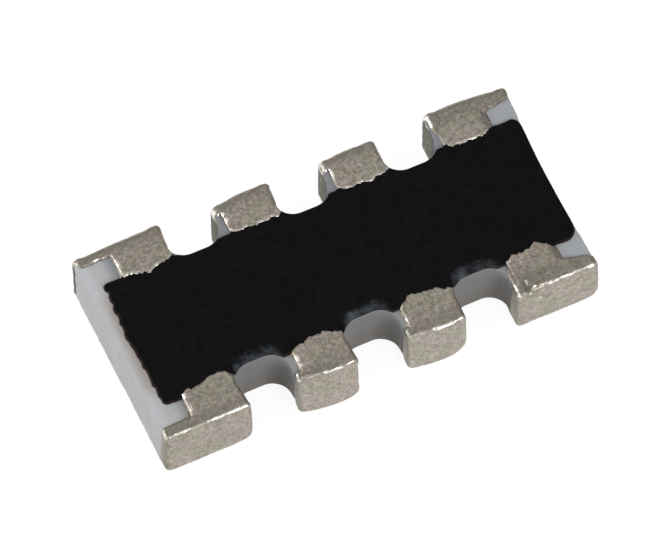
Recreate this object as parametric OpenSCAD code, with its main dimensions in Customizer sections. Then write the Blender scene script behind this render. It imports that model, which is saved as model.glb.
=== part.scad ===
// Chip resistor network: four separate thick-film resistors on one notched ceramic chip, each with a
// wrap-around terminal at the front and at the back. X runs along the chip, Y from front to back and
// Z up. The origin is at the middle of the chip, level with the undersides of the terminals.

/* [Ceramic chip] */
// Length of the ceramic at its base
chip_l = 3.2; // [3.1:0.05:3.6]
// Width of the ceramic over the tips of its teeth
chip_w = 1.49; // [1.4:0.01:1.7]
// Thickness of the ceramic
chip_t = 0.42; // [0.3:0.01:0.6]
// How far each snapped end leans inwards from base to top
end_lean = 0.035; // [0.01:0.005:0.08]
// Corner radius of the teeth, seen from above
tooth_r = 0.03; // [0.01:0.005:0.05]
// Edge radius of the tooth tips, seen from the end
tip_r = 0.02; // [0.01:0.005:0.04]

/* [Notches] */
// Distance from one terminal to the next
pitch = 0.8; // [0.76:0.01:0.86]
// Width of each notch in the ceramic
notch_w = 0.4; // [0.32:0.01:0.46]
// Depth of each notch from the tooth tips
notch_d = 0.3; // [0.24:0.01:0.34]
// Radius of the two corners at the bottom of each notch
notch_r = 0.145; // [0.08:0.005:0.16]

/* [Metal layers] */
// Thickness of the printed conductors on the top and underside
conductor_t = 0.01; // [0.006:0.001:0.016]
// Thickness of the edge conductor that wraps each tooth tip
edge_t = 0.005; // [0.004:0.001:0.01]
// Thickness of the nickel barrier
nickel_t = 0.005; // [0.004:0.001:0.01]
// Thickness of the tin finish
tin_t = 0.01; // [0.006:0.001:0.016]

/* [Terminals] */
// Gap between a printed conductor and the walls of its tooth
conductor_inset = 0.03; // [0.025:0.005:0.06]
// How far the edge conductor wraps onto the top, the underside and the notch walls
wrap_d = 0.09; // [0.06:0.01:0.14]
// How far the front pads reach in from the tooth tips
front_reach = 0.305; // [0.26:0.005:0.34]
// How far the back pads reach in from the tooth tips
back_reach = 0.29; // [0.26:0.005:0.34]
// Bulge of the front pads' inner ends
front_crown = 0.06; // [0.01:0.005:0.08]
// Bulge of the back pads' inner ends
back_crown = 0.02; // [0.01:0.005:0.08]
// How far the bottom conductors reach in from the tooth tips
bottom_reach = 0.3; // [0.24:0.01:0.4]

/* [Resistors] */
// How far the top conductors reach in from the tooth tips, under the coats
conductor_reach = 0.415; // [0.4:0.005:0.5]
// Width of each resistor film
film_w = 0.28; // [0.2:0.01:0.3]
// Thickness of the resistor film where it lies on the conductors
film_t = 0.004; // [0.003:0.001:0.008]
// Overlap of the resistor film on each conductor
film_lap = 0.05; // [0.03:0.005:0.06]
// Width of the laser trimming cut
kerf_w = 0.03; // [0.02:0.002:0.04]
// Depth of the trimming cut across the film
plunge_l = 0.15; // [0.1:0.01:0.17]
// Length of the trimming cut along the film
leg_l = 0.16; // [0.1:0.01:0.24]

/* [Coats] */
// Thickness of the glass undercoat over the resistor film
glass_t = 0.004; // [0.003:0.001:0.008]
// Overlap of the glass undercoat past the film's edges
glass_lap = 0.02; // [0.01:0.002:0.02]
// Thickness of the black overcoat over the glass
coat_t = 0.006; // [0.004:0.001:0.01]
// Bare ceramic at the left end of the overcoat
coat_left = 0.08; // [0.05:0.01:0.15]
// Distance from the front tooth tips to the overcoat
coat_front = 0.23; // [0.2:0.01:0.25]
// Distance from the back tooth tips to the overcoat
coat_back = 0.26; // [0.2:0.01:0.27]
// Corner radius of the overcoat
coat_r = 0.08; // [0.03:0.01:0.12]

/* [Hidden] */
$fn = 64;
elements = 4;
ROWS = ["front", "back"];

// Metal built up over the ceramic by the end of each plating step, where the edge conductor wraps the
// tooth and where the pads lie on the printed conductors. The tin runs level over both.
EDGE = 1;
NICKEL = 2;
TIN = 3;
wrap_growth = [0, edge_t, edge_t + nickel_t, edge_t + nickel_t + tin_t];
pad_growth = [0, 0, nickel_t, wrap_growth[TIN]];

// Heights of the ceramic's underside and top, of the whole chip, and of the layers over the ceramic
base_z = conductor_t + wrap_growth[TIN];
top_z = base_z + chip_t;
overall_t = top_z + base_z;
film_top = conductor_t + film_t;
glass_top = film_top + glass_t;
coat_top = glass_top + coat_t;

tip_y = chip_w / 2;
tooth_w = pitch - notch_w;
conductor_w = tooth_w - 2 * conductor_inset;
pad_w = conductor_w + 2 * pad_growth[TIN];
conductor_y = tip_y - conductor_reach;
film_y = conductor_y + film_lap;
far = chip_l + chip_w;

function terminal_x(n) = (n - (elements + 1) / 2) * pitch;
function wall_left(n) = n == 1 ? -chip_l / 2 : terminal_x(n) - tooth_w / 2;
function wall_right(n) = n == elements ? chip_l / 2 : terminal_x(n) + tooth_w / 2;
function reach(row) = row == "front" ? front_reach : back_reach;
function crown(row) = row == "front" ? front_crown : back_crown;
function wrap_y(step) = tip_y - wrap_d - wrap_growth[step] + edge_t;
// Radius of an arc that rises by the given amount over a chord
function arc_r(chord, rise) = (chord * chord / 4 + rise * rise) / (2 * rise);

// Shapes drawn for the back row are mirrored for the front one.
module on_row(row) {
    if (row == "front") mirror([0, 1, 0]) children();
    else children();
}

// A flat outline in Y and Z, drawn out along X.
module along_x(from, to) {
    translate([from, 0, 0]) rotate([90, 0, 90]) linear_extrude(height = to - from) children();
}

// A flat outline in X and Y, raised between two heights.
module between(low, high) {
    translate([0, 0, low]) linear_extrude(height = high - low) children();
}

// A rectangle whose two corners on the far u side are rounded.
module round_ended(u0, u1, v0, v1, r) {
    translate([u0, v0]) square([u1 - u0 - r, v1 - v0]);
    translate([u0, v0 + r]) square([u1 - u0, v1 - v0 - 2 * r]);
    for (v = [v0 + r, v1 - r]) translate([u1 - r, v]) circle(r);
}

// A rectangle with all four corners rounded.
module rounded(x0, x1, y0, y1, r) {
    translate([x0 + r, y0]) square([x1 - x0 - 2 * r, y1 - y0]);
    translate([x0, y0 + r]) square([x1 - x0, y1 - y0 - 2 * r]);
    for (x = [x0 + r, x1 - r], y = [y0 + r, y1 - r]) translate([x, y]) circle(r);
}

// What is cut away to round the tip of a tooth whose corner is at the origin.
module corner_cut(r) {
    difference() {
        translate([-r, -r]) square(2 * r);
        translate([r, -r]) circle(r);
    }
}

// Three round-cornered notches and the rounded tooth corners of one long side.
module side_cuts() {
    for (n = [1:elements - 1]) translate([terminal_x(n) + pitch / 2, tip_y]) rotate(-90)
        round_ended(-tooth_r, notch_d, -notch_w / 2, notch_w / 2, notch_r);
    for (n = [1:elements]) {
        translate([wall_left(n), tip_y]) corner_cut(tooth_r);
        translate([wall_right(n), tip_y]) mirror([1, 0]) corner_cut(tooth_r);
    }
}

// Outline of the ceramic, seen from above.
module chip_outline() {
    difference() {
        square([chip_l, chip_w], center = true);
        for (row = ROWS) on_row(row) side_cuts();
    }
}

// Everything between the two snapped ends, which lean in over the height of the ceramic, or between
// two planes a little short of them.
module between_ends(short = 0) {
    low = chip_l / 2 - short;
    high = low - end_lean;
    translate([0, far / 2, 0]) rotate([90, 0, 0]) linear_extrude(height = far) polygon([
        [-low, 0], [low, 0], [low, base_z], [high, top_z], [high, overall_t],
        [-high, overall_t], [-high, top_z], [-low, base_z]
    ]);
}

module substrate() {
    color("#d9dbde") intersection() {
        between(base_z, top_z) chip_outline();
        along_x(-far / 2, far / 2) rounded(-tip_y, tip_y, base_z, top_z, tip_r);
        between_ends();
    }
}

// Printed conductors under the plating, inset from the walls of their tooth.
module conductor(n, inner_y, low) {
    translate([terminal_x(n) - conductor_w / 2, inner_y, low])
        cube([conductor_w, tip_y - tip_r - inner_y, conductor_t]);
}

module top_conductor(row, n) {
    color("#c9c4b8") on_row(row) conductor(n, conductor_y, top_z);
}

module bottom_conductor(row, n) {
    color("#c9c4b8") on_row(row) conductor(n, tip_y - bottom_reach, base_z - conductor_t);
}

// Side outline of a wrapped tooth tip, over bare ceramic or over a printed conductor.
module wrap_side(step, under) {
    grown = wrap_growth[step] + under;
    round_ended(wrap_y(step), tip_y + wrap_growth[step], base_z - grown, top_z + grown,
        tip_r + wrap_growth[step]);
}

// A tooth tip as far out as one plating step takes it: the tip's face, both notch walls, and a strip
// on the top and underside, raised where the printed conductors lie. At the chip's ends each step runs
// past the one under it, and the tin ends flush with the ceramic.
module wrapped_tip(n, step) {
    grown = wrap_growth[step];
    raised = conductor_w / 2 + grown;
    intersection() {
        between(0, overall_t) mirror([1, -1, 0])
            round_ended(wrap_y(step), tip_y + grown, wall_left(n) - grown, wall_right(n) + grown,
                tooth_r + grown);
        union() {
            along_x(-far / 2, far / 2) wrap_side(step, 0);
            along_x(terminal_x(n) - raised, terminal_x(n) + raised) wrap_side(step, conductor_t);
        }
        between_ends(wrap_growth[TIN] - grown);
    }
}

// Outline of a top pad, whose inner end bulges into the overcoat.
module pad_outline(row, n, grown) {
    width = conductor_w + 2 * grown;
    inner_y = tip_y - reach(row);
    bulge_r = arc_r(pad_w, crown(row));
    translate([terminal_x(n), inner_y]) intersection() {
        translate([-width / 2, 0]) square([width, reach(row) - tip_r]);
        translate([0, bulge_r]) circle(bulge_r);
    }
}

// Top and bottom pads, as far out as one plating step takes them.
module pads(row, n, step) {
    grown = pad_growth[step];
    width = conductor_w + 2 * grown;
    bottom_l = bottom_reach + grown;
    between(top_z, top_z + conductor_t + grown) pad_outline(row, n, grown);
    between(base_z - conductor_t - grown, base_z)
        translate([terminal_x(n) - width / 2, tip_y - bottom_l]) square([width, bottom_l - tip_r]);
}

// All the metal of one terminal up to one plating step, with the tooth still inside it.
module built_up(row, n, step) {
    on_row(row) {
        wrapped_tip(n, step);
        if (step > EDGE) pads(row, n, step);
    }
}

// One layer of a terminal's metal: what a plating step adds to the one before.
module metal_layer(row, n, step) {
    difference() {
        built_up(row, n, step);
        if (step > EDGE) built_up(row, n, step - 1);
        substrate();
        top_conductor(row, n);
        bottom_conductor(row, n);
    }
}

module edge_conductor(row, n) {
    color("#b9b6ae") metal_layer(row, n, EDGE);
}

module nickel_barrier(row, n) {
    color("#a8a59a") metal_layer(row, n, NICKEL);
}

module tin_terminal(row, n) {
    color("#968e87") metal_layer(row, n, TIN);
}

// A block centred on one resistor, lying on the ceramic.
module block(n, half_w, half_l, height) {
    translate([terminal_x(n) - half_w, -half_l, top_z]) cube([2 * half_w, 2 * half_l, height]);
}

// The L-shaped laser cut that trims one resistor, through its film and its glass.
module trim_cut(n) {
    left = terminal_x(n) - film_w / 2;
    run = glass_lap + plunge_l;
    translate([left - glass_lap, -leg_l / 2, top_z]) {
        cube([run, kerf_w, glass_top]);
        translate([run - kerf_w, 0, 0]) cube([kerf_w, leg_l, glass_top]);
    }
}

module film_block(n) {
    block(n, film_w / 2, film_y, film_top);
}

module resistor_film(n) {
    color("#3a3532") difference() {
        film_block(n);
        for (row = ROWS) top_conductor(row, n);
        trim_cut(n);
    }
}

module glass_undercoat(n) {
    color("#5b6f5e") difference() {
        block(n, film_w / 2 + glass_lap, film_y + glass_lap, glass_top);
        film_block(n);
        for (row = ROWS) top_conductor(row, n);
        trim_cut(n);
    }
}

// The black coat lies over the glass, fills the trimming cuts, stops at the notches and the pads, and
// runs off the right end of the chip.
module overcoat() {
    half = chip_l / 2;
    color("#141414") difference() {
        between(top_z, top_z + coat_top) intersection() {
            chip_outline();
            rounded(coat_left - half, half - end_lean, coat_front - tip_y, tip_y - coat_back, coat_r);
        }
        for (n = [1:elements]) {
            resistor_film(n);
            glass_undercoat(n);
            for (row = ROWS) {
                top_conductor(row, n);
                on_row(row) pads(row, n, TIN);
            }
        }
    }
}

substrate();
overcoat();
for (n = [1:elements]) {
    resistor_film(n);
    glass_undercoat(n);
    for (row = ROWS) {
        top_conductor(row, n);
        bottom_conductor(row, n);
        edge_conductor(row, n);
        nickel_barrier(row, n);
        tin_terminal(row, n);
    }
}
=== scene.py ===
import bmesh
import bpy
import numpy as np
from mathutils import Matrix, Vector


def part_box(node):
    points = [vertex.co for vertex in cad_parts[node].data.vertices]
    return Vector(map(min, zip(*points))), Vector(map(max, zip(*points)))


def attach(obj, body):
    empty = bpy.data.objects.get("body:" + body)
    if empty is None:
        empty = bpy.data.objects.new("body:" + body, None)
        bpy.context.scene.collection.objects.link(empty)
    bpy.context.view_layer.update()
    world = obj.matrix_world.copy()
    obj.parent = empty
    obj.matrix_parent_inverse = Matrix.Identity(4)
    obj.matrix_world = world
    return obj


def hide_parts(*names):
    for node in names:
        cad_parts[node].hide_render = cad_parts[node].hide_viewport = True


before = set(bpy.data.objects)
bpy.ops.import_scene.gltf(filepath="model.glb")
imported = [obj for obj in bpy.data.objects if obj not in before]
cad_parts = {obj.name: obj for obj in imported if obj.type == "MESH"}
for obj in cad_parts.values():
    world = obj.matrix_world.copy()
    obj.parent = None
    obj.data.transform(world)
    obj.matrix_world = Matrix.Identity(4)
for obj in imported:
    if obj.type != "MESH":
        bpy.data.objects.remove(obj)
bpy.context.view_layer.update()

# Sizes, in millimetres. What the frame knows is read from its boxes.

MM = 0.001
chip_low, chip_high = np.array(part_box("substrate")) / MM
coat_low, coat_high = np.array(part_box("overcoat")) / MM
half_l, tip_y, top_z = chip_high
base_z = chip_low[2]

# Spacing of the terminals, and the tooth and notch between two of them.
PITCH = 0.8
TOOTH_HALF = 0.2
TOOTH_CORNERS = (0.03, 0.1, 0.1, 0.03)
# Depths of the notches, in the front row from the left and in the back row from the right.
NOTCH_DEPTHS = (0.3, 0.3, 0.276)
NOTCH_R = 0.145
notch_half = PITCH / 2 - TOOTH_HALF
notch_flat = notch_half - NOTCH_R
notch_y = tip_y - np.array(NOTCH_DEPTHS) + NOTCH_R
terminal_x = (np.arange(4) - 1.5) * PITCH
notch_x = (np.arange(3) - 1) * PITCH
# The two rows of teeth, by the sign of y.
SIDE = {"front": -1, "back": 1}

# How far the snapped ends lean in, what share of that is lost towards the front and back tips, how far from the end
# it starts, and how far the left end stands out towards the back.
END_LEAN = 0.035
LEAN_LOSS = {"front": 0.3, "back": 0.85}
LEAN_REACH = 0.24
END_SKEW = 0.016
# The ceramic's edge radius, how near the left end its upper edge gets painted shade, how far it stops short under the
# tips' metal, and the depth of its chips in the notches and what the snapped ends add.
CERAMIC_EDGE = 0.004
SHADED_EDGE_REACH = 0.02
CERAMIC_SHORT = {"front": 0.045, "back": 0.012}
NOTCH_CHIPS, END_CHIPS = 0.0015, 0.006

# The tin: how high it stands on the strips and what the pads add, how far in it runs on the underside, how far the
# tip's face swells and lies before the next layers, and the rounding of the tip's edge, of the lower right corner
# further in, of the rims and the last pad's right rim, and of the rims on left and right walls.
STRIP_LIFT = 0.02
PAD_RISE = 0.008
UNDER_REACH = tip_y - 0.425
FACE_SWELL, TIP_GAP = 0.006, 0.006
TIP_ROUND = 0.022
INNER_CORNER = 0.012
RIM_ROUND, SOFT_RIM = 0.024, 0.09
WALL_TAPER, RIGHT_TAPER = 0.07, 0.05
# Added rounding of the tip's upper edge, the first teeth's left edge and the second front tooth's right edge, how it
# fades near the corners, and added rounding about the lower right corner.
SOFT_TOP, SOFT_LEFT, SOFT_RIGHT = 0.026, 0.03, 0.03
CORNER_FADE = (0.03, 0.1)
SOFT_LOW, SOFT_LOW_REACH = 0.018, 0.1

# Tooth by tooth: the metal on its left and right wall and how far in that runs, how far the right wall stands out at
# the tip, the radius of each corner, how far the tip's face stands out, where along the tooth it stands out most, how
# fast it falls back from there, how far its top leans back, and how far the strip on the top runs in.
LEFT_LIFT = {"front": (0.006, 0.011, 0.011, 0.011), "back": (0.004, 0.009, 0.004, 0.003)}
LEFT_DEPTH = {"front": (0.085, 0.11, 0.11, 0.11), "back": (0.035, 0.145, 0.145, 0.14)}
RIGHT_LIFT = {"front": (0.011, 0.011, 0.011, 0.012), "back": (0.011, 0.011, 0.011, 0.01)}
RIGHT_DEPTH = (0.2, 0.2, 0.2, 0.085)
RIGHT_OUT = {"front": (0.031, 0.016, 0.004, 0.0), "back": (0.025, 0.023, 0.007, 0.0)}
HIGH_RIGHT = 0.024
LOW_RIGHT = {"front": (0.055, 0.06, 0.09, 0.07), "back": (0.045,) * 4}
LOW_LEFT = {"front": (0.06, 0.036, 0.03, 0.024), "back": (0.03,) * 4}
HIGH_LEFT = {"front": (0.024,) * 4, "back": (0.05, 0.046, 0.046, 0.055)}
TIP_OUT = {"front": (0.024, 0.037, 0.035, 0.024), "back": (0.029, 0.021, 0.02, 0.043)}
TIP_PEAK = {"front": (0.0, 0.09, 0.06, 0.1), "back": (0.05, 0.07, 0.03, 0.0)}
TIP_FALL = {"front": (0.0, 0.53, 0.52, 0.0), "back": (0.1, 0.6, 0.5, 0.27)}
TIP_BACK = {"front": (0.023, 0.034, 0.018, 0.006), "back": (0.0,) * 4}
STRIP_DEPTH = {"front": (0.1, 0.1, 0.1, 0.115), "back": (0.08, 0.09, 0.09, 0.12)}
# The slant of the last strip and where it starts from the tooth's middle, and how far in the right wall stands out.
LAST_SLANT = {"front": -0.27, "back": -0.12}
SLANT_FROM = 0.25
RIGHT_FADE = 0.26

# The pads: their left edges from the middle of the tooth, the right edge of the last one, the widest reach of the
# others along the notches, and half the width of those on the underside.
PAD_LEFT = (-0.166, -0.17, -0.177, -0.185)
LAST_PAD_RIGHT = {"front": 0.195, "back": 0.205}
PAD_WIDEST = 0.236
UNDER_HALF = 0.186
# Distance of each pad's inner end from the chip's middle, at five places across the pad, and how far pad and coat run
# past it, one over the other.
PAD_ENDS = {
    "front": (
        (0.498, 0.464, 0.452, 0.426, 0.482), (0.495, 0.468, 0.440, 0.456, 0.495),
        (0.502, 0.454, 0.446, 0.470, 0.510), (0.490, 0.457, 0.446, 0.456, 0.520),
    ),
    "back": (
        (0.487, 0.464, 0.448, 0.470, 0.500), (0.500, 0.480, 0.468, 0.472, 0.484),
        (0.483, 0.470, 0.462, 0.468, 0.481), (0.484, 0.464, 0.454, 0.460, 0.476),
    ),
}
PAD_LAP = 0.014
# The silver print under a pad: its thickness and rounding, how far it lies in from the pad's sides, and its ends.
PRINT_RISE, PRINT_SOFT = 0.01, 0.008
PRINT_INSET = 0.014
PRINT_ENDS = (0.335, tip_y - 0.025)

# The grain of the tin: heights and sizes of its lumps. The last front pad is crumpled into higher folds round a place
# given from the tooth's middle in x and the chip's in y.
LUMPS = ((0.0022, 0.08), (0.0011, 0.024), (0.0007, 0.011))
CRUMPLE_AT = (-0.08, -0.7)
CRUMPLE_REACH = 0.11
FOLD_HEIGHT, FOLD_SIZE = 0.013, 0.045
# Half the breadth of a narrow line at a rim, in roundings of it: a painted highlight, and along the left end painted
# shade. On the tip's upper edge, in radians of the turn over it: where the painted highlight is, its breadth, and how
# far that wanders.
RIDGE_HALF = 0.45
GLINT_TURN, GLINT_BREADTH, GLINT_WANDER = 1.0, 0.42, 0.28
# How much darker than the strips the tin is painted: on walls, olive and partly painted shade, dark patches among the
# crumpled folds, a painted shade line along the left end, and painted shade on left walls.
WALL_SHADE, FOLD_DARK, END_SHADE_LINE = 0.5, 2.2, 1.6
LEFT_WALL_SHADE = {"front": 0.4, "back": 1.2}
# Points of the tin: the step round a tooth, and the number up its walls, across the tip's face, over its edge, along
# the strip and along the pad. The inner skin takes every fifth.
LOOP_STEP, WALL_POINTS = 0.0068, 48
FACE_POINTS, EDGE_POINTS, STRIP_POINTS, PAD_POINTS = 30, 12, 18, 36
BACK_SKIP = 5

# The black coat: its straight edges, corners and thickness, how softly it thins out, how far it stays off the
# notches, and how far in its edges are marked.
COAT_LEFT = coat_low[0]
COAT_RIGHT = half_l - 0.004
COAT_EDGE = {"front": 0.505, "back": 0.495}
COAT_CORNERS = {"front": (0.065, 0.1), "back": (0.03, 0.075)}
COAT_THICK = coat_high[2] - top_z
COAT_SOFT = 0.03
COAT_GAP = 0.004
COAT_RIM = 0.16
# The prints and films that its underside steps over: height, half width, and distances from the chip's middle.
COAT_STEPS = ((0.010, 0.17, 0.33, tip_y), (0.018, 0.16, 0.0, 0.40))
# Heights and sizes of the waves in its left edge, and how far that steps in towards the back.
COAT_WAVES = ((0.010, 0.2), (0.010, 0.085), (0.009, 0.03))
COAT_STEP_IN = 0.016


# Numpy helpers


def smooth(value, low, high):
    """0 below low, 1 above high, and 3t² - 2t³ between them."""
    t = np.clip((value - low) / (high - low), 0, 1)
    return t * t * (3 - 2 * t)


def quarter(value):
    """The height of a quarter circle: 0 at 0, 1 from 1 on."""
    return np.sqrt(1 - (1 - np.clip(value, 0, 1)) ** 2)


def spaced(start, stop, step, marks=(), reach=0.02, gain=3.0):
    """Places from start to stop, about a step apart and closer by the gain near the marks: the running total of
    the wanted density, read backwards at even intervals."""
    fine = np.linspace(start, stop, 4000)
    density = np.ones_like(fine)
    for mark in marks:
        density = density + gain * np.exp(-(((fine - mark) / reach) ** 2))
    total = np.concatenate([[0], np.cumsum((density[1:] + density[:-1]) / 2)])
    total = total * abs(stop - start) / (len(fine) - 1)
    count = int(np.ceil(total[-1] / step)) + 1
    return np.interp(np.linspace(0, total[-1], count), total, fine)


def random_at(cell, seed):
    """A value from 0 to 1 for each whole-number cell: what is left of a large multiple of a sine."""
    mixed = np.sin(cell @ np.array([127.1, 311.7, 74.7]) + seed * 53.9) * 43758.5453
    return mixed - np.floor(mixed)


def noise(points, size, seed):
    """Smooth noise from -1 to 1: random values on a lattice of that size, blended along each axis by 3t² - 2t³."""
    place = points / size
    cell = np.floor(place)
    part = place - cell
    part = part * part * (3 - 2 * part)
    total = 0
    for corner in np.ndindex(2, 2, 2):
        weight = np.prod(np.where(np.array(corner) == 1, part, 1 - part), axis=-1)
        total = total + weight * random_at(cell + np.array(corner), seed)
    return 2 * total - 1


def layered(points, lumps, seed):
    """Noise of several heights and sizes, added up."""
    return sum(height * noise(points, size, seed + k) for k, (height, size) in enumerate(lumps))


def grid_normals(points):
    """Unit normals of a grid that closes round its first axis: the cross product of its central differences."""
    around = np.roll(points, -1, axis=0) - np.roll(points, 1, axis=0)
    along = np.gradient(points, axis=1)
    normal = np.cross(around, along)
    length = np.linalg.norm(normal, axis=-1, keepdims=True)
    return normal / np.maximum(length, 1e-12)


def grid_faces(count_around, count_along):
    """Quads between neighbours of a grid that closes round its first axis."""
    here = np.arange(count_around)
    there = np.roll(here, -1)
    row = np.arange(count_along - 1)
    first = here[:, None] * count_along + row
    second = there[:, None] * count_along + row
    return np.stack([first, second, second + 1, first + 1], axis=-1).reshape(-1, 4)


def add_piece(name, points, marks, material, node, ends=()):
    """Makes a mesh from a grid of points in millimetres and faces that close its ends, merges what coincides, turns
    the faces outwards, and lets the piece ride on the chip in the place of its CAD node."""
    mesh = bpy.data.meshes.new(name)
    faces = grid_faces(*points.shape[:2]).tolist()
    mesh.from_pydata(points.reshape(-1, 3) * MM, [], faces + list(ends))
    for mark, values in marks.items():
        layer = mesh.attributes.new(mark, "FLOAT", "POINT")
        layer.data.foreach_set("value", np.ascontiguousarray(values.reshape(-1), dtype=np.float32))
    shell = bmesh.new()
    shell.from_mesh(mesh)
    bmesh.ops.remove_doubles(shell, verts=shell.verts, dist=2e-5 * MM)
    bmesh.ops.dissolve_degenerate(shell, edges=shell.edges, dist=1e-5 * MM)
    bmesh.ops.recalc_face_normals(shell, faces=shell.faces)
    shell.to_mesh(mesh)
    shell.free()
    sides = np.empty(len(mesh.polygons), dtype=np.int32)
    mesh.polygons.foreach_get("loop_total", sides)
    mesh.polygons.foreach_set("use_smooth", sides < 5)
    mesh.materials.append(material)
    piece = bpy.data.objects.new(name, mesh)
    bpy.context.collection.objects.link(piece)
    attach(piece, "root")
    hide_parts(node)


# Finishes


class Value:
    """A shader socket in Python arithmetic: each operation adds one Math node to its finish."""

    def __init__(self, finish, socket):
        self.finish = finish
        self.socket = socket

    def math(self, operation, first, second):
        return self.finish.node("ShaderNodeMath", {"operation": operation}, {0: first, 1: second})

    def __add__(self, other):
        return self.math("ADD", self, other)

    __radd__ = __add__

    def __sub__(self, other):
        return self.math("SUBTRACT", self, other)

    def __rsub__(self, other):
        return self.math("SUBTRACT", other, self)

    def __mul__(self, other):
        return self.math("MULTIPLY", self, other)

    __rmul__ = __mul__


class Finish:
    """The nodes of one material or world, with patterns measured in millimetres of the piece's own place."""

    def __init__(self, owner):
        self.owner = owner
        owner.use_nodes = True
        self.tree = owner.node_tree
        self.tree.nodes.clear()

    def node(self, kind, settings=None, sockets=None, out=0):
        """Adds a node: its settings first, then the values or links of its sockets. Gives one of its outputs."""
        made = self.tree.nodes.new(kind)
        for name, value in (settings or {}).items():
            setattr(made, name, value)
        for key, value in (sockets or {}).items():
            if isinstance(value, Value):
                self.tree.links.new(value.socket, made.inputs[key])
            else:
                made.inputs[key].default_value = value
        return Value(self, made.outputs[out]) if len(made.outputs) else None

    def place(self, away=None):
        """Where a point of the piece is, in millimetres, moved away where patterns should differ."""
        where = self.node("ShaderNodeTexCoord", out="Object")
        where = self.node("ShaderNodeVectorMath", {"operation": "SCALE"}, {"Vector": where, "Scale": 1 / MM})
        return self.node("ShaderNodeVectorMath", {"operation": "ADD"}, {0: where, 1: away}) if away else where

    def axis(self, name):
        """How far along X, Y or Z a point of the piece is, in millimetres."""
        return self.node("ShaderNodeSeparateXYZ", {}, {0: self.place()}, out=name)

    def grain(self, size, detail=2.0, away=None):
        """Noise from 0 to 1 with lumps of about that size in millimetres."""
        sockets = {"Vector": self.place(away), "Scale": 1 / size, "Detail": detail}
        return self.node("ShaderNodeTexNoise", {}, sockets)

    def dots(self, size, away=None):
        """The distance to the nearest of many scattered points that lie about that size apart."""
        sockets = {"Vector": self.place(away), "Scale": 1 / size}
        return self.node("ShaderNodeTexVoronoi", {}, sockets, out="Distance")

    def mark(self, name):
        """The value that the mesh carries under that name."""
        return self.node("ShaderNodeAttribute", {"attribute_name": name}, out="Fac")

    def ease(self, value, low, high):
        """0 at low, 1 at high, and a smooth step between them."""
        settings = {"interpolation_type": "SMOOTHSTEP"}
        sockets = {"Value": value, "From Min": low, "From Max": high}
        return self.node("ShaderNodeMapRange", settings, sockets)

    def mix(self, share, first, second):
        """A colour between first and second."""
        return self.node("ShaderNodeMix", {"data_type": "RGBA"}, {0: share, 6: first, 7: second}, out=2)

    def bump(self, height, depth, strength):
        """A normal tilted by a height from 0 to 1 that stands for that depth in millimetres."""
        sockets = {"Height": height, "Distance": depth * MM, "Strength": strength}
        return self.node("ShaderNodeBump", {}, sockets)

    def surface(self, **sockets):
        """Joins a shader with these sockets to the output. Gives the material."""
        named = {name.replace("_", " "): value for name, value in sockets.items()}
        shader = self.node("ShaderNodeBsdfPrincipled", {}, named)
        self.node("ShaderNodeOutputMaterial", {}, {"Surface": shader})
        return self.owner


def new_finish(name):
    """The finish of an empty material."""
    return Finish(bpy.data.materials.new(name))


def shade(red, green, blue):
    """A screen colour from 0 to 255 as the linear colour that a shader takes."""
    screen = np.array([red, green, blue]) / 255
    linear = np.where(screen > 0.04045, ((screen + 0.055) / 1.055) ** 2.4, screen / 12.92)
    return (*linear.tolist(), 1.0)


def matte_tin():
    """Fine-grained plated tin: light and dark grains over faint olive and pink clouds, ochre tints on the pads,
    darker on the strips, painted shade on walls and along the left end, and near-white painted highlights, where the
    tin is also smoother, on edges that catch the lamps."""
    finish = new_finish("matte_tin")
    grains = finish.grain(0.012, 3.0)
    flakes = finish.grain(0.03, 2.0, (3.1, 0.7, 1.9))
    clouds = finish.grain(0.16, 2.0, (0.4, 5.2, 2.3))
    breaks = finish.grain(0.1, 1.0, (7.7, 1.2, 4.1))
    across = finish.axis("Y")
    inner = 1 - finish.ease(across * across, 0.6**2, 0.68**2)
    tone = finish.ease(0.55 * grains + 0.45 * flakes, 0.32 + 0.05 * inner, 0.68 - 0.05 * inner)
    hue = finish.ease(clouds, 0.38, 0.62)
    light = finish.mix(hue, shade(192, 187, 173), shade(200, 189, 180))
    dark = finish.mix(hue, shade(152, 147, 134), shade(158, 147, 139))
    colour = finish.mix(tone, dark, light)
    ochre = inner * finish.ease(finish.grain(0.07, 2.0, (9.1, 2.0, 6.3)), 0.48, 0.66)
    colour = finish.mix(0.4 * ochre, colour, shade(182, 166, 138))
    # Darker on the strips; on walls and along the left end this is painted shade.
    darkening = finish.mark("darkening")
    colour = finish.mix(0.3 * darkening, colour, shade(118, 116, 104))
    # Deepest: painted shade on the back row's left walls and along the left end, and dark patches among the folds.
    colour = finish.mix(finish.ease(darkening, 1.9, 2.8), colour, shade(98, 97, 83))
    # Painted highlights: near-white glints, broken into blobs, on edges that catch the lamps, where the tin is also
    # smoother.
    blobs = finish.grain(0.045, 1.0, (1.3, 6.6, 0.2))
    kept = 0.15 + 0.85 * finish.ease(breaks, 0.36, 0.44) * finish.ease(blobs, 0.38, 0.5)
    wear_and_glint = finish.ease(finish.mark("wear_and_glint"), 0.2, 0.7) * kept
    colour = finish.mix(0.9 * wear_and_glint, colour, shade(246, 242, 232))
    return finish.surface(
        Base_Color=colour,
        Metallic=1.0,
        Roughness=0.58 - 0.1 * tone - 0.24 * wear_and_glint,
        Normal=finish.bump(0.6 * grains + 0.4 * flakes, 0.004, 0.6),
    )


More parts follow.
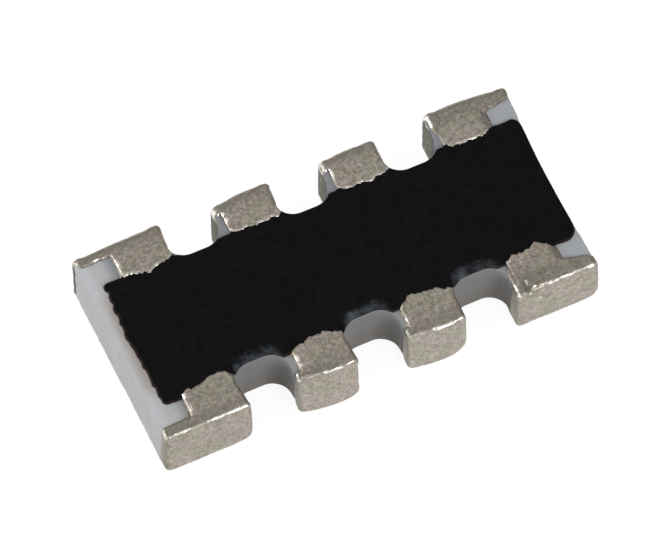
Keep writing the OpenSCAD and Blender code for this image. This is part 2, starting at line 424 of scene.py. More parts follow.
def alumina():
    """Fired white ceramic: faint clouds and fine grain, painted shade in the notches, browner towards their bottom,
    paler along the left end, painted shade over the left end's rounded upper edge, and a brown stain beside the coat."""
    finish = new_finish("alumina")
    clouds = finish.grain(0.2, 3.0)
    grains = finish.grain(0.012, 3.0, (2.2, 0.3, 5.5))
    along, across, height = finish.axis("X"), finish.axis("Y"), finish.axis("Z")
    on_top = finish.ease(height, top_z - 0.02, top_z - 0.005)
    near = finish.ease(along + 0.05 * (finish.grain(0.1) - 0.5), COAT_LEFT - 0.075, COAT_LEFT + 0.02)
    left = 1 - finish.ease(along, COAT_LEFT + 0.04, COAT_LEFT + 0.1)
    stain = near * left * on_top * (1 - finish.ease(across * across, 0.28**2, 0.46**2))
    at_end = finish.ease(along * along, 1.36**2, 1.46**2)
    body = finish.mix(finish.ease(clouds, 0.35, 0.65), shade(200, 202, 205), shade(208, 209, 211))
    body = finish.mix(finish.ease(grains, 0.3, 0.6), shade(192, 194, 196), body)
    # Painted shade in the notches: darker and browner towards the bottom, and bluish grey at the back.
    foot = finish.mix(finish.ease(height, 0.08, 0.3), shade(157, 152, 148), shade(161, 162, 163))
    foot = finish.mix(finish.ease(across, 0.4, 0.5), foot, shade(152, 155, 161))
    body = finish.mix(at_end, foot, body)
    body = finish.mix(finish.ease(along, 1.2, 1.4), body, shade(190, 193, 197))
    body = finish.mix(finish.ease(along, -1.48, -1.57) * on_top, body, shade(216, 218, 221))
    # Painted shade over the left end's rounded upper edge, which would otherwise show a bright line.
    body = finish.mix(0.9 * finish.mark("upper_edge_shade"), body, shade(182, 184, 187))
    body = finish.mix(0.7 * stain, body, shade(174, 160, 148))
    return finish.surface(
        Base_Color=body,
        Roughness=0.55 + 0.15 * grains,
        Normal=finish.bump(grains, 0.003, 0.3),
        Specular_IOR_Level=0.3,
    )


def black_coat():
    """Printed black glass: satin, with faint mottles and dust, a brown fringe where it thins out on the ceramic and
    a grey-blue bloom along the rims of the front notches."""
    finish = new_finish("black_coat")
    mottles = finish.grain(0.05, 4.0)
    fine = finish.grain(0.012, 2.0, (4.4, 1.1, 0.9))
    ragged = finish.grain(0.035, 3.0, (0.7, 3.3, 2.6))
    drift = finish.grain(0.12, 2.0, (6.1, 0.2, 3.0))
    dust = finish.dots(0.09, (2.6, 1.7, 0.4))
    speck = 1 - finish.ease(dust + 0.12 * finish.grain(0.4, 1.0, (5.0, 5.0, 5.0)), 0.075, 0.1)
    edge, rim = finish.mark("edge"), finish.mark("rim")
    body = finish.mix(finish.ease(mottles, 0.35, 0.7), shade(14, 14, 14), shade(19, 20, 20))
    body = finish.mix(speck * 0.3, body, shade(52, 56, 62))
    fringe = 1 - finish.ease(edge + 0.1 * (ragged - 0.5), 0.012, 0.095)
    bloom = rim * (1 - finish.ease(edge + 0.6 * (ragged - 0.5), 0.0, 0.5)) * finish.ease(drift, 0.22, 0.6)
    body = finish.mix(fringe * (1 - rim) * 0.85, body, shade(58, 42, 40))
    body = finish.mix(bloom * (0.4 + 0.4 * finish.ease(fine, 0.35, 0.65)), body, shade(116, 123, 134))
    return finish.surface(
        Base_Color=body,
        Roughness=0.5 + 0.15 * fine,
        Normal=finish.bump(0.6 * mottles + 0.4 * fine, 0.003, 0.3),
        Specular_IOR_Level=0.07,
    )


def inner_layer(name, light, dark, size, rough, metal):
    """A layer under the tin or the coat, of metal or fired glass: two tones of grain, and paler flecks in glass."""
    finish = new_finish(name)
    grains = finish.grain(size, 3.0)
    colour = finish.mix(finish.ease(grains, 0.3 if metal else 0.35, 0.7), dark, light)
    if not metal:
        flecks = 1 - finish.ease(finish.dots(size * 2), 0.1, 0.25)
        colour = finish.mix(flecks * 0.5, colour, light)
    return finish.surface(
        Base_Color=colour,
        Metallic=float(metal),
        Roughness=rough + (0.15 if metal else 0.2) * grains,
        Normal=finish.bump(grains, 0.002, 0.4),
    )


# The ceramic bar


def arc(centre_x, centre_y, radius, start, stop, count):
    """Points on an arc, from angle start to stop in degrees."""
    turn = np.radians(np.linspace(start, stop, count))
    return np.stack([centre_x + radius * np.cos(turn), centre_y + radius * np.sin(turn)], axis=-1)


def chip_outline(count):
    """The bar's plan, anticlockwise: along a row an arc at each tooth's corner and two arcs in each notch, then the
    other row turned half round, with its points spread evenly along its length."""
    first, last = TOOTH_CORNERS[0], TOOTH_CORNERS[-1]

    def half(short):
        tip = short - tip_y
        row = [arc(-half_l + first, tip + first, first, 180, 270, 8)]
        for x, y, before, after in zip(notch_x, notch_y, TOOTH_CORNERS, TOOTH_CORNERS[1:]):
            row += [
                arc(x - notch_half - before, tip + before, before, -90, 0, 12),
                arc(x - notch_flat, -y, NOTCH_R, 180, 90, 30),
                arc(x + notch_flat, -y, NOTCH_R, 90, 0, 30),
                arc(x + notch_half + after, tip + after, after, 180, 270, 12),
            ]
        row.append(arc(half_l - last, tip + last, last, -90, 0, 8))
        return np.concatenate(row)

    loop = np.concatenate([half(CERAMIC_SHORT["front"]), -half(CERAMIC_SHORT["back"])])
    closed = np.concatenate([loop, loop[:1]])
    length = np.concatenate([[0], np.cumsum(np.linalg.norm(np.diff(closed, axis=0), axis=1))])
    at = np.linspace(0, length[-1], count, endpoint=False)
    return np.stack([np.interp(at, length, closed[:, axis]) for axis in (0, 1)], axis=-1)


def lean_in(points):
    """Moves points near a snapped end inwards, more the higher they are and less towards the tips, and those near
    the left end outwards towards the back."""
    x, y, z = np.moveaxis(points, -1, 0)
    rise = np.clip((z - base_z) / (top_z - base_z), 0, 1.08)
    near = np.clip((np.abs(x) - half_l + LEAN_REACH) / LEAN_REACH, 0, 1.02)
    lean = 1 - LEAN_LOSS["back"] * smooth(y, 0.0, 0.75) - LEAN_LOSS["front"] * smooth(-y, 0.2, 0.7)
    skew = END_SKEW * smooth(y, -0.6, 0.7) * (x < 0)
    moved = points.copy()
    moved[..., 0] = x - np.sign(x) * near * (END_LEAN * lean * rise - skew)
    return moved


def ceramic_bar(material):
    """The plan outline carried up a wall profile with small rounded edges; the snapped ends are rougher than the
    moulded notches, and two flat faces close it. The left end's upper edge is marked for painted shade."""
    outline = chip_outline(1200)
    tangent = np.roll(outline, -1, axis=0) - np.roll(outline, 1, axis=0)
    tangent = tangent / np.linalg.norm(tangent, axis=1, keepdims=True)
    outward = np.stack([tangent[:, 1], -tangent[:, 0]], axis=-1)
    turn = np.linspace(0, np.pi / 2, 6)
    falling, rising = CERAMIC_EDGE * (1 - np.sin(turn)), CERAMIC_EDGE * (1 - np.cos(turn))
    wall = np.linspace(base_z + CERAMIC_EDGE, top_z - CERAMIC_EDGE, 28)[1:-1]
    inset = np.concatenate([falling, 0 * wall, rising])
    height = np.concatenate([base_z + rising, wall, top_z - falling])
    plan = outline[:, None] - inset[None, :, None] * outward[:, None]
    points = np.concatenate([plan, np.broadcast_to(height[None, :, None], (*plan.shape[:2], 1))], axis=-1)
    snapped = smooth(np.abs(outward[:, :1]), 0.9, 1.0) * (np.abs(outline[:, :1]) > half_l - 0.01)
    depth = NOTCH_CHIPS + END_CHIPS * snapped
    chips = np.maximum(noise(points, 0.09, 4), 0) + 0.5 * np.maximum(noise(points, 0.03, 5), 0)
    points[..., :2] -= (depth * chips)[..., None] * outward[:, None]
    points = lean_in(points)
    # Painted shade over the rounding of the left end's upper edge.
    upper_edge_shade = np.zeros(points.shape[:2])
    upper_edge_shade[:, -5:-1] = outline[:, :1] < SHADED_EDGE_REACH - half_l
    ring = np.arange(len(outline)) * points.shape[1]
    ends = (ring + points.shape[1] - 1).tolist(), ring[::-1].tolist()
    add_piece("ceramic_bar", points, {"upper_edge_shade": upper_edge_shade}, material, "substrate", ends)


# The tin terminals


def tooth_loop(x0, x1, corners, pad_sides, coarse):
    """The way round a tooth's tip: along the top, down one wall, back along the underside and up the other wall, with
    an arc at each corner. Gives places and outward directions in x and z."""
    high_right, low_right, low_left, high_left = corners
    step, count = LOOP_STEP * coarse, WALL_POINTS // coarse
    lines = (
        (spaced(x0 + high_left, x1 - high_right, step, pad_sides), top_z),
        (x1, np.linspace(top_z - high_right, base_z + low_right, count)),
        (spaced(x1 - low_right, x0 + low_left, step, pad_sides), base_z),
        (x0, np.linspace(base_z + low_left, top_z - high_left, count)),
    )
    centres = (
        (x1 - high_right, top_z - high_right), (x1 - low_right, base_z + low_right),
        (x0 + low_left, base_z + low_left), (x0 + high_left, top_z - high_left),
    )
    place, facing = [], []
    for start, line, centre, radius in zip((90, 0, 270, 180), lines, centres, corners):
        line = np.stack(np.broadcast_arrays(*line), axis=-1)
        place += [line, arc(*centre, radius, start, start - 90, 10)[1:-1]]
        facing += [np.full(len(line), start), np.linspace(start, start - 90, 10)[1:-1]]
    angle = np.radians(np.concatenate(facing))
    return np.concatenate(place), np.stack([np.cos(angle), np.sin(angle)], axis=-1)


def notch_rim(row, n, y):
    """How far a tooth reaches from its own middle towards the next notch, at a distance y from the chip's middle."""
    below = np.clip(notch_y[min(n, 2) if row == "front" else max(2 - n, 0)] - y, 0, NOTCH_R)
    return PITCH / 2 - notch_flat - np.sqrt(NOTCH_R**2 - below**2)


def pad_end(row, n, share):
    """Distance of a pad's inner end from the chip's middle: the curve of the fourth degree through five places."""
    return np.polyval(np.polyfit(np.linspace(0, 1, 5), PAD_ENDS[row][n], 4), share)


def crown(value):
    """The height of a rounded rim: 0 at 0, 1 from 1 on, along a parabola."""
    return 1 - (1 - np.clip(value, 0, 1)) ** 2


def ridge(value):
    """A narrow line: 0 at 0, up to 1 in its middle and back to 0."""
    return np.clip(1 - np.abs(value - RIDGE_HALF) / RIDGE_HALF, 0, 1)


class Tooth:
    """A tooth under a layer of metal: its limits, the way round its tip, and how far each point faces each way."""

    def __init__(self, row, n, layer):
        self.row, self.n, self.layer = row, n, layer
        self.seed = n + 1 + 20 * (row == "back")
        self.middle = terminal_x[n]
        self.x0 = -half_l if n == 0 else self.middle - TOOTH_HALF
        self.x1 = half_l if n == 3 else self.middle + TOOTH_HALF + self.own(RIGHT_OUT)
        self.corners = (HIGH_RIGHT, self.own(LOW_RIGHT), self.own(LOW_LEFT), self.own(HIGH_LEFT))
        short = layer["short"]
        pad_left = self.middle + PAD_LEFT[n] + short
        pad_last = (self.middle + LAST_PAD_RIGHT[row] if n == 3 else self.x1 - HIGH_RIGHT) - short
        pad_sides = (pad_left, pad_last)
        self.place, self.facing = tooth_loop(self.x0, self.x1, self.corners, pad_sides, layer["coarse"])
        self.x, self.z = self.place[:, :1], self.place[:, 1:]
        self.out_x, self.out_z = self.facing[:, :1], self.facing[:, 1:]
        self.over, self.under = np.maximum(self.out_z, 0) ** 2, np.maximum(-self.out_z, 0) ** 2
        self.right, self.left = np.maximum(self.out_x, 0) ** 2, np.maximum(-self.out_x, 0) ** 2
        self.flat = self.over + self.under
        self.pad_left = np.where(self.under > 0.5, self.middle - UNDER_HALF + short, pad_left)
        self.pad_last = np.where(self.under > 0.5, self.middle + UNDER_HALF - short, pad_last)

    def own(self, table):
        """This tooth's number in a table of both rows."""
        return table[self.row][self.n]

    def uneven(self, size, amount, shift):
        """Noise at each point of the way round, in lumps of that size and by that amount."""
        spot = np.concatenate([self.x, np.full_like(self.x, SIDE[self.row]), self.z], axis=-1)
        return amount * noise(spot, size, self.seed + shift)[:, None]

    def tip_face(self, plan):
        """How far in the tip's face is: one parabola along the tooth and another up it."""
        along = self.own(TIP_FALL) * (plan[..., 0] - self.middle - self.own(TIP_PEAK)) ** 2 - self.own(TIP_OUT)
        rise = np.clip((plan[..., 1] - base_z) / (top_z - base_z), 0, 1)
        return along + self.own(TIP_BACK) * rise**2 + TIP_GAP * (1 - self.layer["outer"])

    def wall_metal(self):
        """How high the metal stands on the ceramic, how far in its rim is, and over what distance it falls to it."""
        flat, left, right = self.flat, self.left, self.right
        lift = STRIP_LIFT * flat + self.own(LEFT_LIFT) * left + self.own(RIGHT_LIFT) * right
        strip = self.own(STRIP_DEPTH) + LAST_SLANT[self.row] * (self.n == 3) * (self.x - self.middle - SLANT_FROM)
        depth = strip * flat + self.own(LEFT_DEPTH) * left + RIGHT_DEPTH[self.n] * right - self.layer["short"]
        depth = depth + self.uneven(0.15, 0.010, 0) * self.over + self.uneven(0.03, 0.004, 1) * self.over
        depth = depth + self.uneven(0.08, 0.008, 2) * (1 - self.over)
        return self.layer["outer"] * lift, depth, RIM_ROUND * flat + WALL_TAPER * left + RIGHT_TAPER * right

    def tip_rounding(self):
        """The radius between the tip's face and each side of the tooth, larger along some edges."""
        x, z, front = self.x, self.z, self.row == "front"
        along, upright = np.minimum(x - self.x0, self.x1 - x), np.minimum(z - base_z, top_z - z)
        open_edge = smooth(np.where(self.flat > 0.5, along, upright), *CORNER_FADE)
        softer = (1 - smooth(x - self.middle, -0.12, 0.06)) * (self.n > 0) if front else 1
        radius = TIP_ROUND + (SOFT_TOP * self.over * softer + SOFT_LEFT * self.left * (self.n == 0)) * open_edge
        radius = radius + SOFT_LOW * np.exp(-((np.hypot(x - self.x1, z - base_z) / SOFT_LOW_REACH) ** 2))
        return radius + SOFT_RIGHT * self.right * (front and self.n == 1) * open_edge

    def lower_corner(self):
        """How far points move in x and z where the lower right corner gets sharper, as the ceramic's own edge is."""
        high, low, other = self.corners[:3]
        gain = low - INNER_CORNER
        along = np.clip((self.x - self.x0 - other) / (self.x1 - low - self.x0 - other), 0, 1) * (self.out_z < 0)
        down = np.clip((top_z - high - self.z) / (top_z - high - base_z - low), 0, 1) * (self.right > 0)
        return gain * along * (1 - np.maximum(self.out_x, 0)), -gain * down * (1 - np.maximum(-self.out_z, 0))


def glints_and_wear(tooth, turn, side_d, depth, beyond, to_left, to_end):
    """Painted highlights where edges catch the lamps, with smoother metal there, on the tip's rounded edge and on the
    sides: along the tip's upper edge in the front row, on left corners and pads' left edges, and on pads' ends in the
    back row."""
    x, n, over = tooth.x - tooth.middle, tooth.n, tooth.over
    corner = 2 * np.maximum(-tooth.out_x, 0) * np.maximum(tooth.out_z, 0) * (0.5 if n == 0 else 1)
    along_tip = smooth(x, -0.08, 0.02) + (0.6 * smooth(0.02 - x, 0, 0.1) if n == 0 else 0)
    breadth = GLINT_BREADTH + tooth.uneven(0.05, GLINT_WANDER, 7)
    on_tip = np.clip(1 - np.abs(turn - GLINT_TURN) / breadth, 0, 1) * over * along_tip * (tooth.row == "front")
    kept = np.exp(-(((side_d - 0.05) / 0.04) ** 2)) if n == 3 else np.ones_like(side_d)
    inwards = np.stack(np.broadcast_arrays(0 * x, side_d, 0 * x), axis=-1)
    clumps = smooth(noise(inwards, 0.035, tooth.seed + 17), -0.45, 0.1)
    sides = np.maximum(ridge(0.5 * to_left) * beyond * clumps, corner * kept)
    if tooth.row == "back":
        sides = np.maximum(sides, ridge(0.65 * to_end) * beyond)
        beside = np.abs(tooth.x - tooth.pad_left + 0.07) < 0.05
        sides = np.maximum(sides, ridge((depth - side_d) / RIM_ROUND) * over * (n == 0) * beside)
    return np.maximum(on_tip, corner * np.sin(turn)), sides


def darkened(tooth, turn, side_d, depth, on_pad, rolled):
    """How much darker the metal is painted, on the tip's rounded edge and on the sides: not on pads, 1 on strips,
    more on walls and ends, where it is partly painted shade, and a painted shade line along the left end."""
    near_tip = 1 - smooth(side_d, 0.05, depth + 0.01)
    walls = 1 + WALL_SHADE * (1 - tooth.flat) + LEFT_WALL_SHADE[tooth.row] * tooth.left
    sides = np.where(on_pad, near_tip, walls)
    sides = np.where(rolled, near_tip * tooth.over + (1 + WALL_SHADE) * tooth.right, sides)
    edge = smooth(turn, 0.4, 1.3) * walls
    if tooth.n == 0:
        # A painted shade line along the rounded edge of the left end.
        edge = edge + END_SHADE_LINE * ridge(turn - 0.3) * tooth.left * smooth(tooth.uneven(0.06, 1, 6), -0.4, 0.4)
    return edge, sides


def metal_cap(row, n, layer):
    """One layer of metal over a tooth: a profile carried round the tooth's tip. It starts in the middle of the tip's
    swelled face, turns over a rounded edge and runs in along the tooth to a rim, on the top and the underside to the
    end of a pad, which widens along the notch. The height over the ceramic falls to nothing at the rim along a
    parabola of the distance to it. The inner skin goes back the same way, lower. Layers under the tin have a share of
    its height and stop a little short of its rims."""
    tooth = Tooth(row, n, layer)
    coarse, outer, inner, short = (layer[part] for part in ("coarse", "outer", "inner", "short"))
    x, z, facing, over, right = tooth.x, tooth.z, tooth.facing, tooth.over, tooth.right
    lift, depth, rim_round = tooth.wall_metal()
    tip_round = tooth.tip_rounding()
    sharper_x, sharper_z = tooth.lower_corner()

    # The pad and its inner end. On the right it rolls over the notch's rim and runs back along it to the wall.
    on_pad = (x >= tooth.pad_left) & (x + sharper_x <= tooth.pad_last) & (tooth.flat > 0.999) & layer["pads"]
    share = np.clip((x - tooth.pad_left) / (tooth.pad_last - tooth.pad_left), 0, 1)
    ragged = tooth.uneven(0.045, 0.015, 3) + tooth.uneven(0.018, 0.011, 4)
    reach = np.where(over > 0.5, tip_y - pad_end(row, n, share) + PAD_LAP + ragged, UNDER_REACH) - short
    reach = np.where(on_pad, reach, depth)
    turned = (right > 1e-9) & (tooth.under < 1e-9) & (n < 3)
    rolled = turned & layer["pads"]
    last_reach = tip_y - PAD_ENDS[row][n][-1] + PAD_LAP + ragged - short
    reach = np.where(rolled, depth + (last_reach - depth) * (1 - right), reach)

    # Outer skin: the tip's face, its rounded edge, the strip or wall, and the pad.
    face = np.array([(tooth.x0 + tooth.x1) / 2, (base_z + top_z) / 2])
    out = np.linspace(0, 1, FACE_POINTS // coarse)[None]
    start = tooth.place - tip_round * facing
    face_plan = face + out[..., None] * (start[:, None] - face)
    face_d = tooth.tip_face(face_plan) - FACE_SWELL * (1 - out**2)
    turn = np.linspace(0, np.pi / 2, EDGE_POINTS // coarse + 1)[None, 1:]
    round_r = lift + tip_round
    edge_plan = tooth.place[:, None] + (lift - round_r * (1 - np.sin(turn)))[..., None] * facing[:, None]
    edge_d = tooth.tip_face(start)[:, None] + round_r * (1 - np.cos(turn))
    from_d = edge_d[:, -1:]
    strip_d = from_d + (depth - from_d) * np.linspace(0, 1, STRIP_POINTS // coarse + 1)[None, 1:]
    pad_d = depth + (reach - depth) * np.linspace(0, 1, PAD_POINTS // coarse + 1)[None, 1:]
    side_d = np.concatenate([strip_d, pad_d], axis=1)
    inside = smooth(side_d, 0.02, 0.07)
    here, level = x + sharper_x * inside, z + sharper_z * inside
    if n < 3:
        wall_x = TOOTH_HALF + tooth.own(RIGHT_OUT) * np.clip(1 - side_d / RIGHT_FADE, 0, 1)
        wall_x = np.minimum(np.maximum(wall_x, notch_rim(row, n, tip_y - side_d)), PAD_WIDEST)
        follows = np.where(on_pad & (over > 0.5), share, np.where(turned, 1, right))
        here = here + (tooth.middle + wall_x - tooth.x1) * follows

    # Its height over the ceramic, from the distance to the rim or to the nearest edge of the pad.
    wobble = 0.003 * (1 + noise(np.stack(np.broadcast_arrays(x, side_d, z), axis=-1), 0.03, tooth.seed + 5))
    to_left = (here - tooth.pad_left - wobble) / RIM_ROUND
    to_right = (tooth.pad_last - here - wobble) / (SOFT_RIM if n == 3 else RIM_ROUND)
    to_right = np.where((over > 0.5) & (n < 3), 1, to_right)
    to_end = (reach - side_d) / RIM_ROUND
    to_rim = np.minimum(np.minimum(to_left, to_right), to_end)
    rise = outer * PAD_RISE * smooth(side_d, 0.03, 0.14)
    strip_h = (lift + rise * over * rolled) * crown((np.where(rolled, reach, depth) - side_d) / rim_round)
    pad_h = (lift + rise) * crown(to_rim) * on_pad
    height = np.maximum(strip_h, pad_h)
    foot = np.stack([here, level], axis=-1)
    side_plan = foot + height[..., None] * facing[:, None]

    # Inner skin, back the same way.
    skip = -max(1, BACK_SKIP // coarse)
    back_plan = (foot + inner / outer * height[..., None] * facing[:, None])[:, ::skip]
    inner_plan = face + np.array([0.98, 0.6, 0.0])[None, :, None] * (start[:, None] - face)
    inner_d = tooth.tip_face(inner_plan) + TIP_GAP * (outer - inner)

    plan = np.concatenate([face_plan, edge_plan, side_plan, back_plan, inner_plan], axis=1)
    d = np.concatenate([face_d, edge_d, side_d, side_d[:, ::skip], inner_d], axis=1)
    points = np.stack([plan[..., 0], SIDE[row] * (tip_y - d), plan[..., 1]], axis=-1)

    # Grain and soft lumps on the outer skin, none on the rim or the flat underside. The last front pad is crumpled.
    hidden = np.zeros((len(x), back_plan.shape[1] + inner_plan.shape[1]))
    tip = np.ones((len(x), face_plan.shape[1] + edge_plan.shape[1]))
    skin = np.concatenate([tip, np.clip(height / lift, 0, 1) * (1 - tooth.under), hidden], axis=1) * layer["grain"]
    lumps = layered(points, LUMPS, tooth.seed + 11)
    crumpled = row == "front" and n == 3
    if crumpled:
        off_x, off_y = points[..., 0] - tooth.middle - CRUMPLE_AT[0], points[..., 1] - CRUMPLE_AT[1]
        folds = np.exp(-((np.hypot(off_x, 1.3 * off_y) / CRUMPLE_REACH) ** 4)) * over
        lumps = 1.6 * lumps + FOLD_HEIGHT * noise(points, FOLD_SIZE, tooth.seed + 14) * folds
    points = lean_in(points + SIDE[row] * (lumps * skin)[..., None] * grid_normals(points))

    # Marks for the finish: painted highlights where edges catch the lamps, and how much darker the metal is painted,
    # with painted shade on walls and edges.
    beyond = on_pad * (over > 0.5) * smooth(side_d, depth, depth + 0.01)
    plain = np.zeros(face_plan.shape[:2])
    wear_and_glint = np.concatenate([plain, *glints_and_wear(tooth, turn, side_d, depth, beyond, to_left, to_end), hidden], axis=1)
    darkening = np.concatenate([plain, *darkened(tooth, turn, side_d, depth, on_pad, rolled), hidden], axis=1)
    if crumpled:
        # Painted highlights on the crumpled folds, and dark patches among them.
        wear_and_glint = np.maximum(wear_and_glint, folds * skin * smooth(noise(points, 0.035, tooth.seed + 15), 0.3, 0.6))
        dark_patches = smooth(noise(points, 0.03, tooth.seed + 16), 0.1, 0.5)
        darkening = np.maximum(darkening, FOLD_DARK * folds * skin * dark_patches)
    name, node = f"{row}_{layer['name']}_{n + 1}", f"{row}_{layer['node']}_{n + 1}"
    add_piece(name, points, {"wear_and_glint": wear_and_glint, "darkening": darkening}, layer["material"], node)


def printed_pad(row, n, material):
    """The silver printed under a pad: a thin sheet from the pad's left side to its right side at each place along the
    tooth. Its top falls to the ceramic by a quarter circle of the distance to the nearest edge."""
    first, last = PRINT_ENDS
    y = spaced(first, last, 0.012, PRINT_ENDS)[None]
    share = spaced(0, 1, 0.05, (0, 1), 0.08)[:, None]
    left = terminal_x[n] + PAD_LEFT[n] + PRINT_INSET
    right = terminal_x[n] + np.minimum(notch_rim(row, n, y), PAD_WIDEST) - 2 * PRINT_INSET
    if n == 3:
        right = np.full_like(y, terminal_x[n] + LAST_PAD_RIGHT[row] - PRINT_INSET)
    x = left + share * (right - left)
    yy = np.broadcast_to(y, x.shape)
    far = np.minimum(np.minimum(x - left, right - x), np.minimum(yy - first, last - yy))
    top = top_z + PRINT_RISE * quarter(far / PRINT_SOFT)
    upper = np.stack([x, SIDE[row] * yy, top], axis=-1)
    lower = np.stack([x, SIDE[row] * yy, np.full_like(x, top_z)], axis=-1)
    points = np.concatenate([upper, lower[::-1]])
    name, node = f"{row}_printed_pad_{n + 1}", f"{row}_top_conductor_{n + 1}"
    add_piece(name, points, {}, material, node)


# The black coat


def coat_edge(x, row):
    """One long edge of the coat: straight with rounded corners, drawn back to the rims of the notches and run on
    under the ends of the pads. Gives for each place along the chip where it is, and where pads and notches are."""
    straight = COAT_EDGE[row]
    left, right = COAT_CORNERS[row]
    along = np.stack([x, 0 * x, 0 * x], axis=-1)
    drawn = left * (1 - quarter((x - COAT_LEFT) / left)) + right * (1 - quarter((COAT_RIGHT - x) / right))
    reach = straight - drawn + 0.004 * noise(along, 0.05, 31 + SIDE[row])
    at_notch = np.zeros_like(x)
    for centre, level in zip(notch_x, notch_y[::-SIDE[row]]):
        off = np.maximum(np.abs(x - centre) - notch_flat, 0)
        inside = np.maximum(NOTCH_R**2 - off**2, 0)
        rim = np.where(inside > 0, level - np.sqrt(inside) - COAT_GAP, reach)
        window = 1 - smooth(np.abs(x - centre), 0.1, 0.2)
        at_notch = np.maximum(at_notch, window * (0.55 + 0.6 * smooth(centre - x, 0.02, 0.1)))
        reach = np.minimum(reach, rim)
    at_pad = np.zeros_like(x)
    for n, centre in enumerate(terminal_x):
        left = centre + PAD_LEFT[n]
        right = centre + (LAST_PAD_RIGHT[row] if n == 3 else PAD_WIDEST)
        end = pad_end(row, n, (x - left) / (right - left)) + PAD_LAP
        here = (x > left + 0.006) & (x < right - 0.006)
        reach = np.where(here, np.minimum(end, straight), reach)
        at_pad = np.maximum(at_pad, here)
    return SIDE[row] * reach, at_pad, at_notch


def coat_sheet(material):
    """A thin sheet over the bar, from the front edge to the back edge at each place along the chip. Its top falls to
    the ceramic by a quarter circle of the distance to an open edge, and its underside steps over what it covers."""
    x = spaced(COAT_LEFT, COAT_RIGHT, 0.0095, (COAT_LEFT, COAT_RIGHT), 0.05, 5.0)
    t = spaced(0, 1, 0.011, (0, 1), 0.03)
    front, front_pad, front_notch = coat_edge(x, "front")
    back, back_pad = coat_edge(x, "back")[:2]
    front_slope, back_slope = (np.sqrt(1 + np.gradient(edge, x) ** 2) for edge in (front, back))
    y = front + (back - front) * t[:, None]
    xx = np.broadcast_to(x, y.shape)
    # Distance to an open edge. Under the pads the coat stays thick, and at the right end it thins out late.
    far = np.minimum((y - front) / front_slope + 0.1 * front_pad, (back - y) / back_slope + 0.1 * back_pad)
    far = np.minimum(far, np.minimum(xx - COAT_LEFT, COAT_RIGHT - xx + 0.012 * (COAT_RIGHT - xx > 0.001)))
    flat = np.stack([xx, y, 0 * y], axis=-1)
    thick = COAT_THICK * quarter(far / COAT_SOFT) * (0.94 + 0.06 * noise(flat, 0.25, 41))
    thick = thick + 0.0008 * noise(flat, 0.03, 42) * smooth(far, 0, 0.02)
    off = np.abs(xx / PITCH % 1 - 0.5) * PITCH
    step = np.zeros_like(y)
    for height, half, first, last in COAT_STEPS:
        step = np.where((off < half) & (np.abs(y) >= first) & (np.abs(y) < last), height, step)
    below = np.minimum(step, 0.85 * np.maximum(thick, 0))
    across = np.stack([0 * y, y, 0 * y], axis=-1)
    wave = layered(across, COAT_WAVES, 44) + COAT_STEP_IN * smooth(y, 0.25, 0.5)
    shifted = xx + wave * (1 - smooth(xx, COAT_LEFT, COAT_LEFT + 0.1))
    upper = np.stack([shifted, y, top_z + np.maximum(thick, 0)], axis=-1)
    lower = np.stack([shifted, y, top_z + below], axis=-1)
    points = lean_in(np.concatenate([upper, lower[::-1]]))
    marks = {"edge": np.clip(far / COAT_RIM, 0, 1), "rim": front_notch * smooth(-y, 0.2, 0.3)}
    marks = {mark: np.concatenate([value, value[::-1]]) for mark, value in marks.items()}
    add_piece("coat_sheet", points, marks, material, "overcoat")


# Making the pieces

ceramic_bar(alumina())
coat_sheet(black_coat())
silver = inner_layer("silver_print", shade(206, 202, 194), shade(170, 164, 154), 0.01, 0.35, True)
nickel = inner_layer("nickel", shade(176, 168, 154), shade(140, 132, 120), 0.006, 0.3, True)
edge_metal = inner_layer("edge_metal", shade(150, 146, 140), shade(118, 114, 110), 0.008, 0.4, True)
# Heights of the two skins as shares of the tin's, how far short of the tin's rims it stops, and how coarse it is.
layers = (
    {"name": "tin", "node": "tin_terminal", "slot": "matte_tin", "material": matte_tin(),
     "outer": 1.0, "inner": 0.55, "short": 0.0, "coarse": 1, "grain": 1.0, "pads": True},
    {"name": "nickel", "node": "nickel_barrier", "slot": "nickel", "material": nickel,
     "outer": 0.52, "inner": 0.42, "short": 0.005, "coarse": 3, "grain": 0.0, "pads": True},
    {"name": "edge_metal", "node": "edge_conductor", "slot": "edge_metal", "material": edge_metal,
     "outer": 0.38, "inner": 0.1, "short": 0.03, "coarse": 3, "grain": 0.0, "pads": False},
)
for row in SIDE:
    for n in range(4):
        printed_pad(row, n, silver)
        for layer in layers:
            metal_cap(row, n, layer)

# The films, glass and lower print keep their CAD shapes.
inner_materials = {
    "resistor_film": inner_layer("resistor_film", shade(62, 52, 44), shade(30, 26, 24), 0.01, 0.4, False),
    "glass_undercoat": inner_layer("glass_coat", shade(92, 104, 96), shade(54, 64, 58), 0.02, 0.2, False),
    "bottom_conductor": silver,
}
for name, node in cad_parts.items():
    for kind, material in inner_materials.items():
        if kind in name:
            for place in node.material_slots:
                place.material = material

# Floor, world and lamps

WHITE = (1.0, 1.0, 1.0, 1.0)
FLOOR_GREY = (0.22, 0.22, 0.22, 1.0)
FLOOR_LIFT = 0.9
FLOOR_REACH = 400
SKY_STRENGTH = 0.3
LAMP_DISTANCE = 12
WATTS_PER_AREA = 4


def seen_white(finish):
    """1 for rays from the camera, a gloss or a clear body, 0 for those that light the object."""
    kinds = ("Is Camera Ray", "Is Glossy Ray", "Is Transmission Ray")
    camera, gloss, clear = (finish.node("ShaderNodeLightPath", out=kind) for kind in kinds)
    return finish.ease(camera + gloss + clear, 0.0, 1.0)


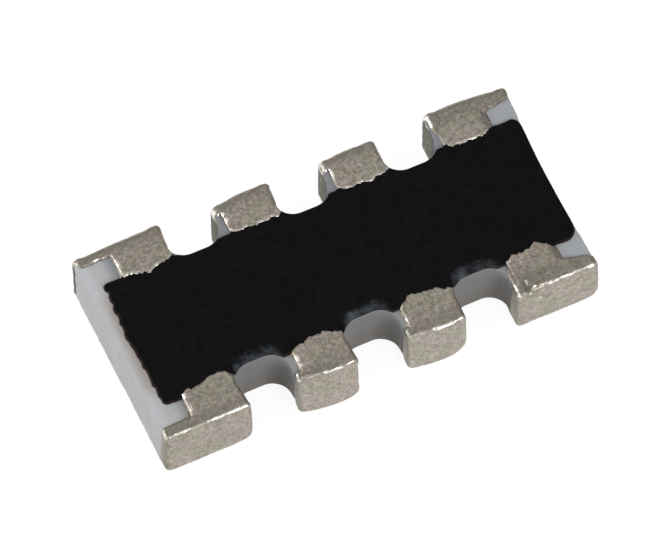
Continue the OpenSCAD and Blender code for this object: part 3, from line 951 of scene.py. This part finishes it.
def pale_floor():
    """A wide flat floor that takes the chip's shadow; what shows of it is lifted to white."""
    finish = new_finish("pale_floor")
    paper = finish.node("ShaderNodeBsdfDiffuse", {}, {"Color": FLOOR_GREY})
    glow = finish.node("ShaderNodeEmission", {}, {"Color": WHITE, "Strength": FLOOR_LIFT})
    both = finish.node("ShaderNodeAddShader", {}, {0: paper, 1: glow})
    shown = finish.node("ShaderNodeMixShader", {}, {0: seen_white(finish), 1: paper, 2: both})
    finish.node("ShaderNodeOutputMaterial", {}, {"Surface": shown})
    reach = FLOOR_REACH * MM
    mesh = bpy.data.meshes.new("floor")
    corners = [(-reach, -reach, 0), (reach, -reach, 0), (reach, reach, 0), (-reach, reach, 0)]
    mesh.from_pydata(corners, [], [(0, 1, 2, 3)])
    mesh.materials.append(finish.owner)
    floor = bpy.data.objects.new("floor", mesh)
    bpy.context.collection.objects.link(floor)


def soft_box(name, towards, width, height, brightness):
    """A lamp of that width and height in millimetres, which faces the chip from that direction."""
    lamp = bpy.data.lights.new(name, "AREA")
    lamp.shape = "RECTANGLE"
    lamp.size, lamp.size_y = width * MM, height * MM
    lamp.energy = WATTS_PER_AREA * lamp.size * lamp.size_y * brightness
    holder = bpy.data.objects.new(name, lamp)
    holder.visible_camera = False
    direction = Vector(towards).normalized()
    holder.location = direction * LAMP_DISTANCE * MM
    holder.rotation_euler = direction.to_track_quat("Z", "Y").to_euler()
    bpy.context.collection.objects.link(holder)


pale_floor()

world = bpy.data.worlds.new("studio")
bpy.context.scene.world = world
sky = Finish(world)
light = sky.node("ShaderNodeBackground", {}, {"Color": WHITE, "Strength": SKY_STRENGTH})
sky.node("ShaderNodeOutputWorld", {}, {"Surface": light})

soft_box("left_box", (-0.85, 0.42, 0.3), 3, 3, 12.0)
soft_box("left_fill", (-0.9, -0.3, 0.3), 8, 6, 1.3)
soft_box("front_box", (0.19, -0.8, 0.55), 5, 4, 5.0)
soft_box("top_box", (0.19, 0.42, 0.89), 10, 10, 0.5)

# Camera: the photograph's angle and framing

IMAGE = (666, 555)
YAW, ELEVATION, ROLL = np.radians([24.6956, 62.3668, 0.122])
POINTS_PER_MM = 147.6167
ORIGIN_AT = (336.4805, 292.8663)
DISTANCE = 38.9
SENSOR = 36.0

right = np.array([np.cos(YAW), -np.sin(YAW), 0])
up = np.array([np.sin(ELEVATION) * np.sin(YAW), np.sin(ELEVATION) * np.cos(YAW), np.cos(ELEVATION)])
back = np.cross(right, up)
turned_right = np.cos(ROLL) * right - np.sin(ROLL) * up
turned_up = np.sin(ROLL) * right + np.cos(ROLL) * up
off_right = (IMAGE[0] / 2 - ORIGIN_AT[0]) / POINTS_PER_MM
off_up = (ORIGIN_AT[1] - IMAGE[1] / 2) / POINTS_PER_MM
eye = back * DISTANCE + turned_right * off_right + turned_up * off_up

lens = bpy.data.cameras.new("camera")
lens.sensor_width = SENSOR
lens.lens = POINTS_PER_MM * DISTANCE * SENSOR / IMAGE[0]
lens.clip_start = 0.1 * MM
lens.clip_end = 10.0
camera = bpy.data.objects.new("camera", lens)
turn = Matrix(np.stack([turned_right, turned_up, back], axis=-1).tolist()).to_4x4()
camera.matrix_world = Matrix.Translation(Vector(eye * MM)) @ turn
bpy.context.collection.objects.link(camera)
bpy.context.scene.camera = camera
bpy.context.scene.view_settings.view_transform = "Standard"

bpy.context.view_layer.update()
